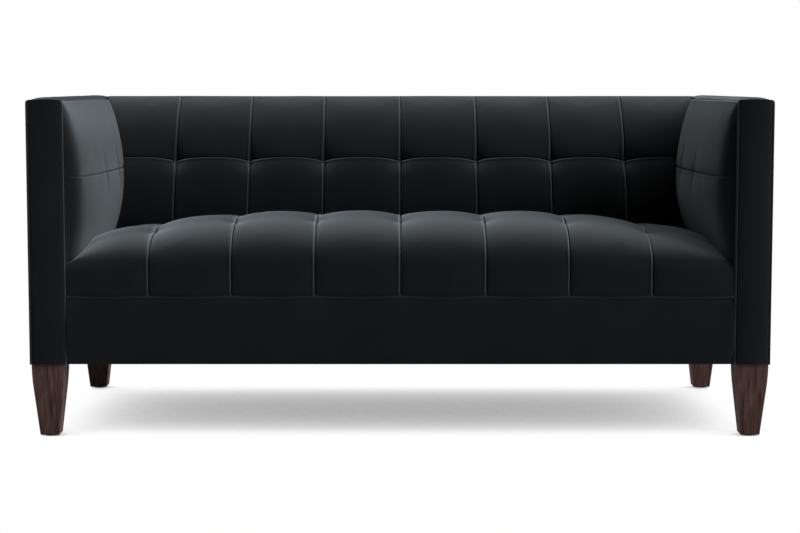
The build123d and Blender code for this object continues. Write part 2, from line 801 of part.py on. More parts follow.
# Front border under the seat, its felt, and the panels on the outer sides and back
border_reach = inner_face - soft_gap
border_x = (-border_reach, border_reach)
border_y = (border_face, border_face + cover)
border_felt_y = (border_face + cover, rail_front)
keep(board("front_border", border_x, border_y, (body_clearance, border_top)), "front_border")
keep(board("front_border_felt", border_x, border_felt_y, rail_z), "front_border_felt")
panel_y = (front + welt_diameter + soft_gap, rear - cover)
panel_z = (body_clearance, arm_height - welt_diameter - soft_gap)
board_y = (post_front, frame_rear)
board_z = (frame_bottom, frame_top)
for side_name, side in sides.items():
    name = f"{side_name}_outside_arm_board"
    keep(board(name, span(side, frame_side, frame_side + board_thickness), board_y, board_z), name)
    name = f"{side_name}_outside_arm_cover"
    keep(board(name, span(side, half_width - cover, half_width), panel_y, panel_z), name)
back_board_x = (-frame_side, frame_side)
keep(board("outside_back_board", back_board_x, (frame_rear, rear - cover), board_z), "outside_back_board")

with BuildPart() as outside_back_cover:
    with BuildSketch(Plane.XZ.offset(-rear)):
        with BuildLine():
            Polyline(
                (-strip_in, strip_under),
                (-inner_face, strip_under),
                (-inner_face, back_under),
                (inner_face, back_under),
                (inner_face, strip_under),
                (strip_in, strip_under),
            )
            right_crest = (strip_mid, strip_under + top_crown)
            ThreePointArc((strip_in, strip_under), right_crest, (strip_out, strip_under))
            Polyline(
                (strip_out, strip_under),
                (half_width, strip_under),
                (half_width, body_clearance),
                (-half_width, body_clearance),
                (-half_width, strip_under),
                (-strip_out, strip_under),
            )
            left_crest = (-strip_mid, strip_under + top_crown)
            ThreePointArc((-strip_out, strip_under), left_crest, (-strip_in, strip_under))
        make_face()
    extrude(amount=cover)
keep(outside_back_cover.part, "outside_back_cover")

# Dust cover under the frame, notched around the legs
leg_notch = leg_top + 2 * leg_inset
with BuildPart() as dust_cover:
    dust_z = (frame_bottom - dust_cover_thickness, frame_bottom)
    add(board("dust_cover", (-frame_side, frame_side), (rail_front, frame_rear), dust_z))
    with Locations([(x, y, frame_bottom) for x, y in leg_places]):
        Box(leg_notch, leg_notch, 2 * dust_cover_thickness, mode=Mode.SUBTRACT)
keep(dust_cover.part, "dust_cover")

# Welts: round cords in the seams of the arm fronts and tops, the back's top and the seat's foot
welt_radius = welt_diameter / 2
welt_height = arm_height - welt_radius
welt_front = front + welt_radius
for side_name, side in sides.items():
    with BuildPart() as arm_welts:
        for x, stop in ((inner_face + welt_radius, back_seam), (half_width - welt_radius, rear - cover)):
            with BuildLine() as welt_path:
                FilletPolyline(
                    (side * x, welt_front, body_clearance),
                    (side * x, welt_front, welt_height),
                    (side * x, stop, welt_height),
                    radius=welt_radius + wire_fit,
                )
            with BuildSketch(Plane.XY.offset(body_clearance)):
                with Locations((side * x, welt_front)):
                    Circle(welt_radius)
            sweep(path=welt_path.line)
    keep(arm_welts.part, f"{side_name}_arm_welts")

with BuildPart() as back_welt:
    start = (-inner_face, back_seam + welt_radius, back_top - welt_radius)
    with BuildSketch(Plane(origin=start, z_dir=(1, 0, 0))):
        Circle(welt_radius)
    extrude(amount=2 * inner_face)
keep(back_welt.part, "back_top_welt")

seat_welt_radius = seat_welt_diameter / 2
with BuildPart() as seat_welt:
    start = (-border_reach, border_face + seat_welt_radius / 2, border_top + seat_welt_radius)
    with BuildSketch(Plane(origin=start, z_dir=(1, 0, 0))):
        Circle(seat_welt_radius)
    extrude(amount=2 * border_reach)
keep(seat_welt.part, "seat_welt")
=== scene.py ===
"""The loveseat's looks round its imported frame: velvet, welts, legs, light and camera. In metres."""
import json
from math import cos, pi, radians, sin

import bmesh
import bpy
import numpy as np
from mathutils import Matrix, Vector, noise


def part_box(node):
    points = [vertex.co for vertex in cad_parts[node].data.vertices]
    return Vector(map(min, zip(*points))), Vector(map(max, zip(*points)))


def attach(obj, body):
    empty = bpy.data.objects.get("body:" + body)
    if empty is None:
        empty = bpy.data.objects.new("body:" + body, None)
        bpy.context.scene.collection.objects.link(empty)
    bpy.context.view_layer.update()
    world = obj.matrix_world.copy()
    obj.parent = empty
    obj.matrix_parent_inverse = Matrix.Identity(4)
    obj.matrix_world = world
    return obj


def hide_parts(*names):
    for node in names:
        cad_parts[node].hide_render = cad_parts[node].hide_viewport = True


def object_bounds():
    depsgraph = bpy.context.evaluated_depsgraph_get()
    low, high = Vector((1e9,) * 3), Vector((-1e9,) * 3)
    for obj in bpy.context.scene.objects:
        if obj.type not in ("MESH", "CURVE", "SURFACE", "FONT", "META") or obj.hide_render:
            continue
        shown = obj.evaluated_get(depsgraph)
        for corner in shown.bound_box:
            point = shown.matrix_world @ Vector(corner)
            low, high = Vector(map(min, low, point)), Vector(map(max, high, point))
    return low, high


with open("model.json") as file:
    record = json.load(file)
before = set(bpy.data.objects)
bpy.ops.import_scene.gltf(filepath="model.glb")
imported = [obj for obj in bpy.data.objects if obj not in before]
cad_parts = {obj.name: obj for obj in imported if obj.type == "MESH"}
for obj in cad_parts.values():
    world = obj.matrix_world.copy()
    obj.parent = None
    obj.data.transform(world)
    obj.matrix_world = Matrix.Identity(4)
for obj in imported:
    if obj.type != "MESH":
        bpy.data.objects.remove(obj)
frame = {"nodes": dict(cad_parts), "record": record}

cad_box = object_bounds()

# Faces of the frame that the cloth is built on
half_width = cad_box[1].x
front = cad_box[0].y
rear = cad_box[1].y
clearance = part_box("front_border")[0].z
border_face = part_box("front_border")[0].y
border_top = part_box("front_border")[1].z
inner_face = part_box("back_top_welt")[1].x
back_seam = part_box("back_top_welt")[0].y
seat_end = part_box("back_liner_rail")[1].x
seat_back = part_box("seat_cover")[1].y
seat_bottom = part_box("seat_cover")[0].z
pad_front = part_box("left_inside_arm_cover")[0].y
pad_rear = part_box("left_inside_arm_cover")[1].y
pad_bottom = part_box("left_inside_arm_cover")[0].z
pad_outer = -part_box("left_inside_arm_cover")[0].x
back_pad_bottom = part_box("inside_back_cover")[0].z
back_pad_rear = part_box("inside_back_cover")[1].y
rail_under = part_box("back_top_rail")[0].z
liner_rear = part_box("back_liner_rail")[1].y
strip_in = -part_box("left_arm_top_strip")[1].x
strip_out = -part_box("left_arm_top_strip")[0].x
arm_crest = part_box("left_arm_top_strip")[1].z
back_strip_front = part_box("back_top_strip")[0].y
back_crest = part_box("back_top_strip")[1].z
back_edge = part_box("back_top_welt")[1].z
dust_low, dust_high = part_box("dust_cover")
leg_low, leg_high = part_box("left_front_leg")
sides = {"left": -1, "right": 1}

# Bows and rolls of the seat and back are on a seam and mid-channel. Arm bows are below and above the seam.
# A tuft is a depth and a reach, waves are a height and a grain size, and a span is a start and an end.
# Painted light and shade on the pile are light above 0 and dark below. On the arms they are given in the
# middle, higher up and lower down.

# Seat: eight sewn channels and two rows of pulled tufts
seat_seam_height = 0.510
seat_first_row = front + 0.131
seat_second_row = (seat_first_row + seat_back) / 2
seat_pillow = 0.005
seat_bows = (0.009, 0.015)
seat_front_crown = 0.003
seat_face_height = 0.420
seat_roll_rise = 0.034
seat_roll_run = 0.085
seat_roll_slope = 0.18
seat_flat_half = 0.395
seat_side_slope = 0.112
seat_side_easing = 0.040
seat_end_drop = 0.022
seat_end_reach = 0.080
seat_end_hold = 0.020
seat_face_share = 0.33
seat_rear_share = 0.95
seat_second_fall = 0.012
seat_rear_fall = 0.024
seat_tuft = (0.008, 0.030)
seat_roll_length = 0.160
seat_foot_span = (0.0, 0.010)
seat_waves = (0.0022, 0.13)
seat_wave_span = (-0.10, 0.06)
seat_ripples = (0.0008, 0.10)
# Painted light on the seat's front roll, mostly ahead of the first row; towards the left arm it fades and
# turns to slight painted shade
seat_painted_light = 0.26
seat_painted_light_rise = (-0.16, -0.09)
seat_painted_light_fall = (-0.03, 0.03)
seat_painted_light_loss = 0.8
seat_left_painted_light_loss = 1.3
seat_left_painted_light_span = (0.56, 0.68)

# Inside back: raked pad, eight channels, one row of pulled tufts
back_seat_level = 0.480
back_row_height = 0.639
back_row_y = front + 0.591
back_row_rise = 0.005
back_pillow = 0.007
back_lower_bows = (0.009, 0.012)
back_rake_run = 0.036
back_rake_rise = 0.105
back_top_rolls = (0.020, 0.026)
back_top_fall = 0.003
back_tuft = (0.012, 0.030)
back_foot_gap = 0.0003
back_lower_length = 0.180
back_upper_length = 0.210
back_row_weight = 0.8
back_waves = (0.0010, 0.09)
back_puckers = (0.0012, 0.022)
back_pucker_stretch = (1, 1, 0.2)
back_pucker_span = (-0.06, -0.12)
# Painted light on the inside back: seam highlights and shade, painted shade that is darkest on the lower
# row and fades out towards the top, and a painted highlight fanning out below each tuft
back_painted_seam_light = 0.8
back_upper_painted_shade = -0.26
back_upper_shade_span = (0.16, 0.06)
back_lower_painted_shade = -0.28
back_lower_shade_span = (0.02, -0.06)
back_painted_highlight = 0.45
back_highlight_half = 0.036
back_highlight_foot = (-0.062, -0.02)
back_highlight_head = (0.0, -0.01)

# Inside arms: swelling pads with a tight front roll, one lengthwise seam, two upright seams
arm_seam_height = 0.618
arm_seam_places = (front + 0.300, front + 0.495)
arm_swell = 0.055
arm_foot_swell = 0.034
arm_bows = (0.010, 0.008)
arm_shoulder = 0.006
arm_shoulder_reach = 0.006
arm_seat_level = 0.452
arm_roll_share = 0.52
arm_roll = 0.008
arm_easing = 0.125
arm_pull = 0.0012
arm_pull_reach = 0.030
arm_pull_stretch = 0.5
arm_pull_power = 1.3
arm_tuft = (0.002, 0.020)
arm_seam_weight = 0.6
upright_weight = 0.25
upright_span = (0.075, 0.015)
arm_front_fade = 0.012
arm_top_fade = 0.004
arm_waves = (0.0005, 0.10)
# Painted light on the inside arms: faint seam highlights and shade; the left arm is painted lighter high up
# and darker low down, the right arm the other way
arm_painted_seam_light = 0.3
left_arm_painted_light = (-0.07, 0.46, -0.25)
right_arm_painted_light = (-0.09, -0.20, 0.27)
arm_high_span = (0.66, 0.79)
arm_low_span = (0.62, 0.50)

# Channels of the seat and back, which grow narrower towards the arms
seam_places = (0.2025, 0.3990, 0.5945)
inner_seams = [-x for x in seam_places[::-1]] + [0.0] + list(seam_places)
pillow_power = 2.4

# Sewing: a folded edge that stands up, with a ditch along one side of it, in a shallow groove
fold_height = 0.0028
fold_half = 0.0021
fold_shift = 0.0020
fold_lap = 0.0055
ditch_depth = 0.0032
ditch_place = 0.0016
ditch_width = 0.0013
groove_depth = 0.0010
groove_width = 0.009
tuft_power = 1.25
cross_seam_weight = 0.35
cross_seam_reach = 0.022

# Panels and welts: a rise is at the front and rear, a ditch is a depth and a width
cloth = 0.002
hem_radius = 0.006
edge_roll = 0.0022
edge_reach = 0.003
panel_crown = 0.0050
arm_edge = arm_crest - 0.0043
arm_pad_high = arm_edge - 0.001
back_pad_high = back_edge - 0.001
arm_rise = (0.0012, 0.0030)
arm_arch = 0.0065
front_arch = 0.25
front_arch_reach = 0.035
front_arch_span = (0.8, 1.0)
corner_run = 0.030
corner_power = 1.5
strip_unsewn = 0.5
panel_in = inner_face + 0.001
panel_ditch = (0.006, 0.0012)
welt_radius = 0.0025
welt_sunk = 0.0015
seat_welt_radius = 0.003
welt_corner = 0.006
# Painted highlights on the welts
arm_welt_painted_highlight = 0.65
back_welt_painted_highlight = 0.8
seat_welt_painted_highlight = 0.40
front_panel_waves = (0.0006, 0.08)
arm_strip_waves = (0.0006, 0.09)
back_strip_waves = (0.0005, 0.12)
border_waves = (0.0006, 0.15)
outside_arm_waves = (0.0008, 0.16)
outside_back_waves = (0.0008, 0.18)
dust_waves = (0.0006, 0.07)
dust_sag = 0.003
leg_room = 0.006

# Cloth: the cover is a little larger than the form and blown up from inside, held along its seams
cloth_step = 0.011
cloth_frames = 20
cloth_cap = 0.003
cloth_pressure = 3.0
cloth_growth = 0.0015
cloth_quality = 5

# Meshes: close spacing beside seams, wider in the middle of a channel, and few rows where nothing shows
fine_step = 0.0006
fine_reach = 0.0060
coarse_step = 0.010
step_growth = 1.32
few_rows = 3
some_rows = 6
many_rows = 8
hem_steps = 5
long_places = 160
welt_places = 60
welt_bend_places = 8
welt_sides = 12
dust_places = (145, 81)
least_bow = 1e-6
tiny = 1e-12
seed_steps = (17.3, 5.1, 9.7)


# Shapes
def graded(start, stop, fine_ends=(True, True)):
    """Places from start to stop, close together at the ends that are sewn."""
    def walk(reach, fine):
        places, at = [], 0.0
        step = fine_step if fine else coarse_step
        while at + step < reach:
            at += step
            places.append(at)
            if at > fine_reach:
                step = min(step * step_growth, coarse_step)
        return places

    half = abs(stop - start) / 2
    way = 1 if stop > start else -1
    head = [start + way * at for at in walk(half, fine_ends[0])]
    tail = [stop - way * at for at in walk(half, fine_ends[1])]
    return np.array([start, *head, *reversed(tail), stop])


def joined(*spans):
    """Spans of places laid end to end, with each shared place kept once."""
    return np.concatenate([span[:-1] for span in spans[:-1]] + [spans[-1]])


def between(pair, share):
    """A value from the first of a pair at share 0 to the second at share 1."""
    return pair[0] + share * (pair[1] - pair[0])


def arc(start, stop, bow, t):
    """Points from start to stop along arcs that bow to the left of their way, at shares t of the run."""
    chord = stop - start
    length = np.linalg.norm(chord, axis=-1)
    bow = np.maximum(bow, least_bow)
    radius = (length**2 / 4 + bow**2) / (2 * bow)
    angle = (2 * t - 1) * np.arcsin(length / 2 / radius)
    along = length / 2 + radius * np.sin(angle)
    rise = radius * np.cos(angle) - (radius - bow)
    way = chord / length[..., None]
    left = np.stack([-way[..., 1], way[..., 0]], axis=-1)
    return start + along[..., None] * way + rise[..., None] * left


def swept(start, stop, handles, t):
    """Points from start to stop along curves drawn by two handles, at shares t of the run."""
    t = t[..., None]
    s = 1 - t
    return s**3 * start + 3 * s**2 * t * handles[0] + 3 * s * t**2 * handles[1] + t**3 * stop


def pillow(x, seams):
    """0 on each seam and 1 midway between two, rounded like a filled channel."""
    edges = np.array(seams)
    cell = np.clip(np.searchsorted(edges, x) - 1, 0, len(edges) - 2)
    share = (x - edges[cell]) / (edges[cell + 1] - edges[cell])
    return 1 - np.abs(2 * np.clip(share, 0, 1) - 1) ** pillow_power


def past(x, places):
    """Distance from the nearest of several places, negative before it and positive past it."""
    spots = np.array(places)
    return x - spots[np.abs(x[..., None] - spots).argmin(axis=-1)]


def nearest(x, places):
    """Distance to the nearest of several places."""
    return np.abs(past(x, places))


def smooth(x, start, stop):
    """0 before start, 1 after stop, eased between."""
    t = np.clip((x - start) / (stop - start), 0, 1)
    return t * t * (3 - 2 * t)


def uneven(points, size, seed):
    """Soft noise from -1 to 1 at each point, of a given grain size."""
    shift = Vector([step * seed for step in seed_steps])
    values = [noise.noise(Vector(p) + shift) for p in points.reshape(-1, 3) / size]
    return np.array(values).reshape(points.shape[:-1])


def waved(points, waves, seed):
    """Height of soft waves at each point, from their height and grain size."""
    height, size = waves
    return height * uneven(points, size, seed)


def sewn(*seams):
    """Height of the cloth by its seams, and the painted light on it: a painted highlight on each fold and
    painted shade in its ditch; a seam is distances from it and a weight.
    """
    def ridge(s):
        return np.sqrt(np.clip(1 - ((s + fold_shift) / fold_half) ** 2, 0, 1))

    def lap(s):
        return np.where(s < -fold_shift, np.exp(-(((s + fold_shift) / fold_lap) ** 2)), ridge(s))

    fold_and_painted_light = np.max([w * ridge(s) for s, w in seams], axis=0)
    lapped = np.max([w * lap(s) for s, w in seams], axis=0)
    ditch = np.max([w * np.exp(-(((s - ditch_place) / ditch_width) ** 2)) for s, w in seams], axis=0)
    groove = np.max([w * np.exp(-((s / groove_width) ** 2)) for s, w in seams], axis=0)
    # Painted light: highlight where the fold stands, painted shade in the ditch that the fold leaves
    # uncovered
    hidden = ditch * (1 - fold_and_painted_light)
    return fold_height * lapped - ditch_depth * hidden - groove_depth * groove, fold_and_painted_light - hidden


def tufted(across, along, tuft):
    """Height of the cloth round a tuft that pulls it in."""
    depth, reach = tuft
    return -depth * np.exp(-((np.hypot(across, along) / reach) ** tuft_power))


def normals(points, closed):
    """Unit normals of a grid of points; closed grids join their last row to the first."""
    across = np.gradient(points, axis=0)
    if closed:
        along = np.roll(points, -1, axis=1) - np.roll(points, 1, axis=1)
    else:
        along = np.gradient(points, axis=1)
    found = np.cross(across, along)
    return found / np.maximum(np.linalg.norm(found, axis=2, keepdims=True), tiny)


def run_lengths(points):
    """Length along each row of a grid from its first point."""
    steps = np.linalg.norm(np.diff(points, axis=1), axis=2)
    return np.concatenate([np.zeros((points.shape[0], 1)), np.cumsum(steps, axis=1)], axis=1)


def finished(name, verts, faces, fold_and_painted_light=None):
    """A smooth mesh object, with painted light per point from -1 (painted shade) to 1 (painted highlight,
    as on a fold).
    """
    mesh = bpy.data.meshes.new(name)
    mesh.from_pydata(verts, [], faces)
    if fold_and_painted_light is not None:
        mesh.attributes.new("painted_shading", "FLOAT", "POINT").data.foreach_set("value", fold_and_painted_light)
    work = bmesh.new()
    work.from_mesh(mesh)
    bmesh.ops.delete(work, geom=[v for v in work.verts if not v.link_faces], context="VERTS")
    bmesh.ops.recalc_face_normals(work, faces=work.faces)
    work.to_mesh(mesh)
    work.free()
    mesh.polygons.foreach_set("use_smooth", [True] * len(mesh.polygons))
    piece = bpy.data.objects.new(name, mesh)
    bpy.context.scene.collection.objects.link(piece)
    return piece


def grid_faces(count_u, count_v, closed=False):
    """Quads of a grid of points, row by row; closed grids join their last row to the first."""
    rows = count_v if closed else count_v - 1
    quads = []
    for u in range(count_u - 1):
        for v in range(rows):
            w = (v + 1) % count_v
            here, beside = u * count_v, (u + 1) * count_v
            quads.append((here + v, beside + v, beside + w, here + w))
    return quads


def grid_mesh(name, points, closed=False, fold_and_painted_light=None):
    """A quad mesh through a grid of points; closed grids become tubes with capped ends."""
    count_u, count_v = points.shape[:2]
    faces = grid_faces(count_u, count_v, closed)
    verts = [tuple(p) for p in points.reshape(-1, 3)]
    shares = np.zeros(len(verts)) if fold_and_painted_light is None else fold_and_painted_light.ravel()
    if closed:
        for u in (0, count_u - 1):
            centre = len(verts)
            verts.append(tuple(points[u].mean(axis=0)))
            faces += [(u * count_v + v, u * count_v + (v + 1) % count_v, centre) for v in range(count_v)]
        shares = np.append(shares, [0.0, 0.0])
    return finished(name, verts, faces, shares)


def thicken(piece, outward):
    """Gives a panel its cloth thickness, inwards from the face that shows."""
    first = piece.data.polygons[len(piece.data.polygons) // 2].normal
    layer = piece.modifiers.new("cloth", "SOLIDIFY")
    layer.thickness = cloth
    layer.offset = -1 if first.dot(Vector(outward)) > 0 else 1
    return piece


# Cloth simulation of the pads
def thinned(places, held):
    """Indices of places about a cloth step apart, with the held ones and both ends among them."""
    chosen = [0]
    for mark in sorted({*held, len(places) - 1} - {0}):
        start = places[chosen[-1]]
        count = max(1, round((places[mark] - start) / cloth_step))
        targets = np.linspace(start, places[mark], count + 1)[1:]
        chosen += [int(np.abs(places - target).argmin()) for target in targets]
    return np.unique(chosen)


def eased_through(at, places, values):
    """Smooth values at new places along the first axis, through the values known at some places."""
    slopes = np.gradient(values, places, axis=0)
    cell = np.clip(np.searchsorted(places, at) - 1, 0, len(places) - 2)
    span = (places[cell + 1] - places[cell])[:, None, None]
    t = (at - places[cell])[:, None, None] / span
    start = (1 + 2 * t) * (1 - t) ** 2 * values[cell] + t * (1 - t) ** 2 * span * slopes[cell]
    return start + t**2 * (3 - 2 * t) * values[cell + 1] + t**2 * (t - 1) * span * slopes[cell + 1]


def settled(points, seams_u, seams_v):
    """A sewn cover's grid after its cloth has swelled between the seams and edges that hold it."""
    places = [run_lengths(np.swapaxes(points, 0, 1)).mean(axis=0), run_lengths(points).mean(axis=0)]
    kept = [thinned(*pair) for pair in zip(places, (seams_u, seams_v))]
    coarse = points[np.ix_(*kept)]
    held = np.zeros(coarse.shape[:2], bool)
    held[np.isin(kept[0], [0, *seams_u, len(places[0]) - 1])] = True
    held[:, np.isin(kept[1], [0, *seams_v, len(places[1]) - 1])] = True
    mesh = bpy.data.meshes.new("cover")
    mesh.from_pydata([tuple(p) for p in coarse.reshape(-1, 3)], [], grid_faces(*coarse.shape[:2]))
    cover = bpy.data.objects.new("cover", mesh)
    scene = bpy.context.scene
    scene.collection.objects.link(cover)
    cover.vertex_groups.new(name="held").add([int(n) for n in np.flatnonzero(held)], 1.0, "REPLACE")
    cloth_of = cover.modifiers.new("cloth", "CLOTH").settings
    cloth_of.quality = cloth_quality
    cloth_of.vertex_group_mass = "held"
    cloth_of.use_pressure = True
    cloth_of.uniform_pressure_force = cloth_pressure
    cloth_of.shrink_min = -cloth_growth
    cloth_of.effector_weights.gravity = 0.0
    for step in range(1, cloth_frames + 1):
        scene.frame_set(step)
    blown = cover.evaluated_get(bpy.context.evaluated_depsgraph_get()).data
    moved = np.empty(coarse.size)
    blown.vertices.foreach_get("co", moved)
    shift = moved.reshape(coarse.shape) - coarse
    scene.frame_set(1)
    bpy.data.objects.remove(cover)
    bpy.data.meshes.remove(mesh)
    reach = np.maximum(np.linalg.norm(shift, axis=2, keepdims=True), tiny)
    shift *= cloth_cap * np.tanh(reach / cloth_cap) / reach
    shift = eased_through(places[0], places[0][kept[0]], shift)
    shift = eased_through(places[1], places[1][kept[1]], np.swapaxes(shift, 0, 1))
    return points + np.swapaxes(shift, 0, 1)


# Surfaces of the pads
def arm_face(y, z):
    """How far from the middle an inside arm's face lies, at a place along it and a height."""
    run = np.maximum(y - pad_front, 0)
    rolling = arm_roll_share * np.exp(-run / arm_roll)
    easing = (1 - arm_roll_share) * np.exp(-run / arm_easing)
    fullness = 1 - rolling - easing
    upper = np.clip((z - arm_seam_height) / (arm_pad_high - arm_seam_height), 0, 1)
    lower = np.clip((arm_seam_height - z) / (arm_seam_height - arm_seat_level), 0, 1)
    swell = arm_swell * (1 - upper) + (arm_foot_swell - arm_swell) * lower
    bow = arm_bows[1] * 4 * upper * (1 - upper) + arm_bows[0] * 4 * lower * (1 - lower)
    shoulder = arm_shoulder * (1 - np.exp(-np.maximum(arm_pad_high - z, 0) / arm_shoulder_reach))
    return inner_face - fullness * (swell + bow + shoulder)


def profile(corners, bends, spans, x):
    """Rows of (y, z) points round a section; a bend is None (a line), a bow (an arc) or two handles."""
    def spread(corner, own):
        return np.stack(np.broadcast_arrays(*corner, x)[:2], axis=-1)[:, own]

    rows = []
    done = 0
    for n, (t, bend) in enumerate(zip(spans, bends)):
        own = slice(done, done + len(t))
        done += len(t)
        start = spread(corners[n], own)
        stop = spread(corners[(n + 1) % len(corners)], own)
        if bend is None:
            rows.append(start + (stop - start) * t[None, :, None])
        elif isinstance(bend, tuple):
            rows.append(swept(start, stop, [spread(handle, own) for handle in bend], t[None, :]))
        else:
            rows.append(arc(start, stop, np.broadcast_to(bend, x.shape)[:, own], t[None, :]))
    return np.concatenate(rows, axis=1)


def shares(length, fine_ends=(True, True)):
    """Shares from 0 up to 1 along a run, without the last place, which the next run starts with."""
    return graded(0.0, length, fine_ends)[:-1] / length


def even(count):
    """Even shares from 0 up to 1, without the last place."""
    return np.linspace(0, 1, count + 1)[:-1]


def seat_fall(x):
    """How far the seat's first row falls from its flat middle towards the arms."""
    beyond = np.abs(x) - seat_flat_half
    eased = (beyond + np.hypot(beyond, seat_side_easing)) / 2
    last = np.minimum(np.abs(x) - seat_end, seat_end_hold)
    return seat_side_slope * eased + seat_end_drop * np.exp(last / seat_end_reach)


def fitted_between_arms(x, last_seam, points):
    """Stretches the outer channels of a pad so that they end on the inside arms."""
    fitted = x.copy()
    for edge in (0, -1):
        end = arm_face(points[edge, :, 0], points[edge, :, 1])
        outer = (np.abs(x) > last_seam) & (np.sign(x) == np.sign(x[edge]))
        share = (np.abs(x) - last_seam) / (np.abs(x[edge]) - last_seam)
        fitted = np.where(outer, np.sign(x) * (last_seam + share * (end - last_seam)), fitted)
    return fitted


def channelled(section, edges, spans):
    """The grid of a pad sewn into channels between the arms, the seams in it and where each span ends."""
    x_places = joined(*[graded(a, b) for a, b in zip(edges[:-1], edges[1:])])
    x = np.repeat(x_places[:, None], sum(len(t) for t in spans), axis=1)
    x = fitted_between_arms(x, edges[-2], section(x))
    seams = [int(np.abs(x_places - edge).argmin()) for edge in edges[1:-1]]
    points = np.concatenate([x[..., None], section(x)], axis=2)
    return points, seams, np.cumsum([len(t) for t in spans])


def build_seat():
    edges = [-seat_end, *inner_seams, seat_end]
    channels = [-inner_face, *inner_seams, inner_face]
    spans = [
        shares(seat_face_height - seat_bottom, (False, False)),
        shares(seat_roll_length, (False, True)),
        shares(seat_second_row - seat_first_row),
        shares(seat_back - seat_second_row, (True, False)),
        even(some_rows),
        even(many_rows),
    ]

    def section(x):
        full = pillow(x, channels)
        fall = seat_fall(x)
        level = seat_seam_height + full * seat_pillow
        top = level - fall
        shoulder = seat_face_height + full * seat_pillow - seat_face_share * fall
        behind = level - seat_rear_share * fall
        face = border_face - full * seat_front_crown
        corners = [
            (face, seat_bottom),
            (face, shoulder),
            (seat_first_row, top),
            (seat_second_row, behind - seat_second_fall),
            (seat_back, behind - seat_rear_fall),
            (seat_back, seat_bottom),
        ]
        run = (seat_first_row - seat_roll_run, top - seat_roll_run * seat_roll_slope)
        roll = ((face, shoulder + seat_roll_rise), run)
        bow = between(seat_bows, full)
        return profile(corners, [None, roll, bow, bow, None, None], spans, x)

    points, seams, marks = channelled(section, edges, spans)
    along = run_lengths(points)
    across = past(points[..., 0], inner_seams)
    points[:, : marks[3] + 1] = settled(points[:, : marks[3] + 1], seams, [int(marks[2])])
    first = along - along[:, marks[1] : marks[1] + 1]
    second = along - along[:, marks[2] : marks[2] + 1]
    shown = smooth(along, *seat_foot_span) * (np.arange(points.shape[1]) < marks[3])
    fading = cross_seam_weight * np.exp(-((across / cross_seam_reach) ** 2))
    height, fold_and_painted_light = sewn((across, 1.0), (first, fading), (second, 1.0))
    height += tufted(across, first, seat_tuft) + tufted(across, second, seat_tuft)
    waves = waved(points, seat_waves, 1) * smooth(first, *seat_wave_span)
    height += waves + waved(points, seat_ripples, 2)
    points = points + normals(points, True) * (height * shown)[..., None]
    # Painted light on the seat's roll, added to the painted highlights and shade of its seams
    kept = 1 - seat_painted_light_loss * smooth(first, *seat_painted_light_fall)
    painted_light_and_shade = seat_painted_light * smooth(first, *seat_painted_light_rise) * kept
    painted_light_and_shade *= 1 - seat_left_painted_light_loss * smooth(-points[..., 0], *seat_left_painted_light_span)
    return grid_mesh("seat_pad", points, closed=True, fold_and_painted_light=(fold_and_painted_light + painted_light_and_shade) * shown)


def build_back():
    edges = [-inner_face, *inner_seams, inner_face]
    foot = seat_back + back_foot_gap
    spans = [
        even(many_rows),
        shares(back_lower_length, (False, True)),
        shares(back_upper_length),
        even(few_rows),
        even(few_rows),
        even(many_rows),
        even(few_rows),
    ]

    def section(x):
        full = pillow(x, edges)
        row_y = back_row_y - full * back_pillow
        row_z = back_row_height + full * back_row_rise
        rising = (row_y + back_rake_run, row_z + back_rake_rise)
        roll = (back_seam - between(back_top_rolls, full), back_pad_high - back_top_fall)
        corners = [
            (foot, back_pad_bottom),
            (foot, back_seat_level),
            (row_y, row_z),
            (back_seam, back_pad_high),
            (back_pad_rear, back_pad_high),
            (back_pad_rear, rail_under),
            (liner_rear, back_pad_bottom),
        ]
        bows = [None, between(back_lower_bows, full), (rising, roll), None, None, None, None]
        return profile(corners, bows, spans, x)

    points, seams, marks = channelled(section, edges, spans)
    along = run_lengths(points)
    across = past(points[..., 0], inner_seams)
    shown_rows = slice(marks[0], marks[2] + 1)
    points[:, shown_rows] = settled(points[:, shown_rows], seams, [int(marks[1] - marks[0])])
    row = along - along[:, marks[1] : marks[1] + 1]
    shown = np.arange(points.shape[1]) <= marks[2]
    height, fold_and_painted_light = sewn((across, 1.0), (row, back_row_weight))
    height += tufted(across, row, back_tuft) + waved(points, back_waves, 3)
    height += waved(points * back_pucker_stretch, back_puckers, 4) * smooth(row, *back_pucker_span)
    points = points + normals(points, True) * (height * shown)[..., None]
    # Painted shade over the back, darkest low down, and a painted highlight below each tuft
    painted_light_and_shade = back_upper_painted_shade * smooth(row, *back_upper_shade_span)
    painted_light_and_shade += back_lower_painted_shade * smooth(row, *back_lower_shade_span)
    painted_fan = np.exp(-((across / back_highlight_half) ** 2))
    painted_fan = painted_fan * smooth(row, *back_highlight_foot) * smooth(row, *back_highlight_head)
    painted_light_level = back_painted_seam_light * fold_and_painted_light + painted_light_and_shade + back_painted_highlight * painted_fan
    return grid_mesh("inside_back_pad", points, closed=True, fold_and_painted_light=painted_light_level * shown)


